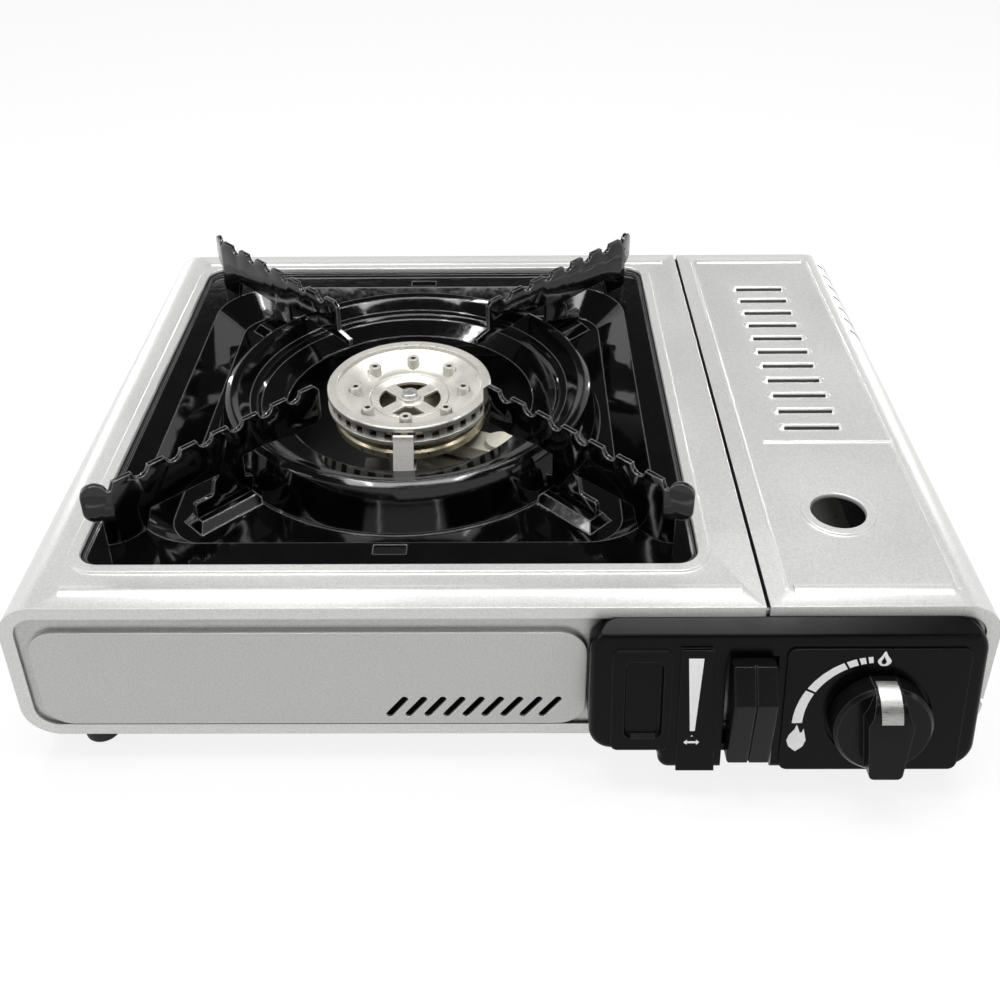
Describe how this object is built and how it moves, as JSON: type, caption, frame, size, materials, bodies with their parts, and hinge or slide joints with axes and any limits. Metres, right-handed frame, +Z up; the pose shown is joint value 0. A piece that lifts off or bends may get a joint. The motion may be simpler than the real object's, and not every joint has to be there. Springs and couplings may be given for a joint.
{
  "type": "portable gas stove",
  "caption": "Flat tabletop gas stove with a round burner in a dished tray, toothed pot supports, a hinged lid over the cartridge bay, a lock lever and a turning gas knob.",
  "frame": {"origin": "centre of the overall footprint on the table, under the feet", "axes": "+X towards the cartridge bay, along the width; +Y from the control panel to the rear; +Z up"},
  "size_m": [0.345, 0.2969, 0.1],
  "materials": {
    "silver_paint": "fine hammered metallic, satin",
    "black_enamel": "vitreous enamel, high gloss",
    "cast_aluminium": "satin casting",
    "brass_cup": "pale satin",
    "brass_fitting": "machined",
    "regulator_metal": "die cast",
    "zinc_steel": "zinc plated",
    "black_plastic": "fine matte grain",
    "grey_plastic": "satin",
    "white_plastic": "moulded",
    "ceramic": "unglazed ceramic",
    "silver_trim": "satin foil",
    "rubber": "matte"
  },
  "bodies": {
    "base": {"bay_trough": "zinc_steel", "bay_wall": "zinc_steel", "body_shell": "silver_paint", "burner_body": "cast_aluminium", "burner_cup": "brass_cup", "burner_head": "cast_aluminium", "burner_screw": "zinc_steel", "burner_stand": "zinc_steel", "carrier_rails": "zinc_steel", "control_panel": "black_plastic", "dial_plate": "black_plastic", "electrode_wire": "zinc_steel", "flame_bracket": "cast_aluminium", "foot_front_left": "rubber", "foot_front_right": "rubber", "foot_rear_left": "rubber", "foot_rear_right": "rubber", "foot_screws": "zinc_steel", "front_plate": "silver_paint", "gas_jet": "brass_fitting", "inlet_seal": "rubber", "lever_axle": "zinc_steel", "lid_brackets": "zinc_steel", "lid_pins": "zinc_steel", "panel_screws": "zinc_steel", "piezo_igniter": "grey_plastic", "rear_plate": "silver_paint", "regulator_body": "regulator_metal", "regulator_screws": "zinc_steel", "spark_electrode": "ceramic"},
    "tray": {"drip_tray": "black_enamel", "pot_support_front_left": "black_enamel", "pot_support_front_right": "black_enamel", "pot_support_rear_left": "black_enamel", "pot_support_rear_right": "black_enamel"},
    "lid": {"lid": "silver_paint", "lid_ears": "zinc_steel"},
    "knob": {"knob": "grey_plastic", "knob_pointer": "silver_trim", "valve_spindle": "brass_fitting", "igniter_cam": "white_plastic"},
    "lever": {"lever_grip": "grey_plastic", "lever_arm": "zinc_steel", "lever_pin": "zinc_steel"},
    "carrier": {"cartridge_carrier": "zinc_steel"},
    "plunger": {"piezo_plunger": "white_plastic"}
  },
  "joints": [
    {"name": "tray_lift", "type": "slide", "parent": "base", "child": "tray", "axis": [0, 0, 1], "range_m": [0, 0.06]},
    {"name": "lid_hinge", "type": "hinge", "parent": "base", "child": "lid", "pos_m": [0.1684, 0, 0.034], "axis": [0, 1, 0], "range_deg": [0, 100]},
    {"name": "knob_turn", "type": "hinge", "parent": "base", "child": "knob", "pos_m": [0.131, -0.13122, 0.03594], "axis": [0, -0.9864, 0.1644], "range_deg": [0, 120]},
    {"name": "lever_turn", "type": "hinge", "parent": "base", "child": "lever", "pos_m": [0.091, -0.10346, 0.03], "axis": [1, 0, 0], "range_deg": [0, 15]},
    {"name": "carrier_slide", "type": "slide", "parent": "base", "child": "carrier", "axis": [0, -1, 0], "range_m": [0, 0.00576]},
    {"name": "plunger_slide", "type": "slide", "parent": "base", "child": "plunger", "axis": [-1, 0, 0], "range_m": [0, 0.00455]}
  ],
  "couplings": [
    {"joint": "carrier_slide", "follows": "lever_turn", "m_per_rad": 0.021937},
    {"joint": "plunger_slide", "follows": "knob_turn", "m_per_rad": 0.002149}
  ]
}
